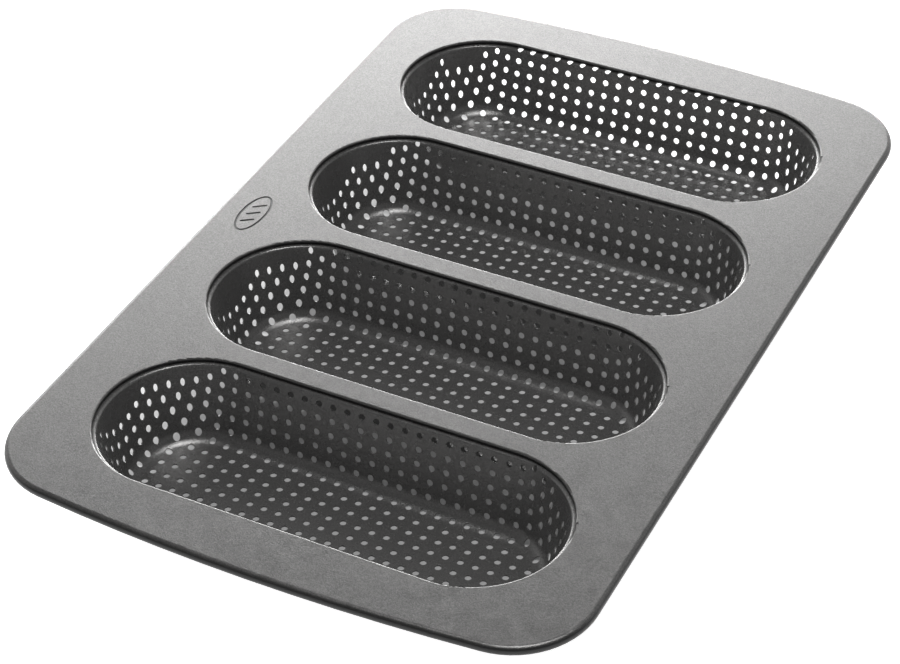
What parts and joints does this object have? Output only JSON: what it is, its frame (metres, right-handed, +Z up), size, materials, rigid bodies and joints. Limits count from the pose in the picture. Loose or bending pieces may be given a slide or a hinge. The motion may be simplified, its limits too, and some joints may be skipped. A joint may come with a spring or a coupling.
{
  "type": "perforated baguette tray",
  "caption": "Oblong baking tray for baguettes: a flat deck with a wire-stiffened rolled edge holds perforated, round-ended wells side by side.",
  "frame": {"origin": "middle of the footprint, on the plane that the wells' floors stand on", "axes": "+X along the wells, +Y along the row of wells, from well_1 to well_4, +Z up"},
  "size_m": [0.252, 0.394, 0.035],
  "materials": {
    "deck_coating": "satin",
    "well_coating": "satin",
    "wire_steel": "satin"
  },
  "bodies": {
    "root": {"deck": "deck_coating", "rim_wire": "wire_steel", "well_1": "well_coating", "well_2": "well_coating", "well_3": "well_coating", "well_4": "well_coating"}
  },
  "joints": []
}
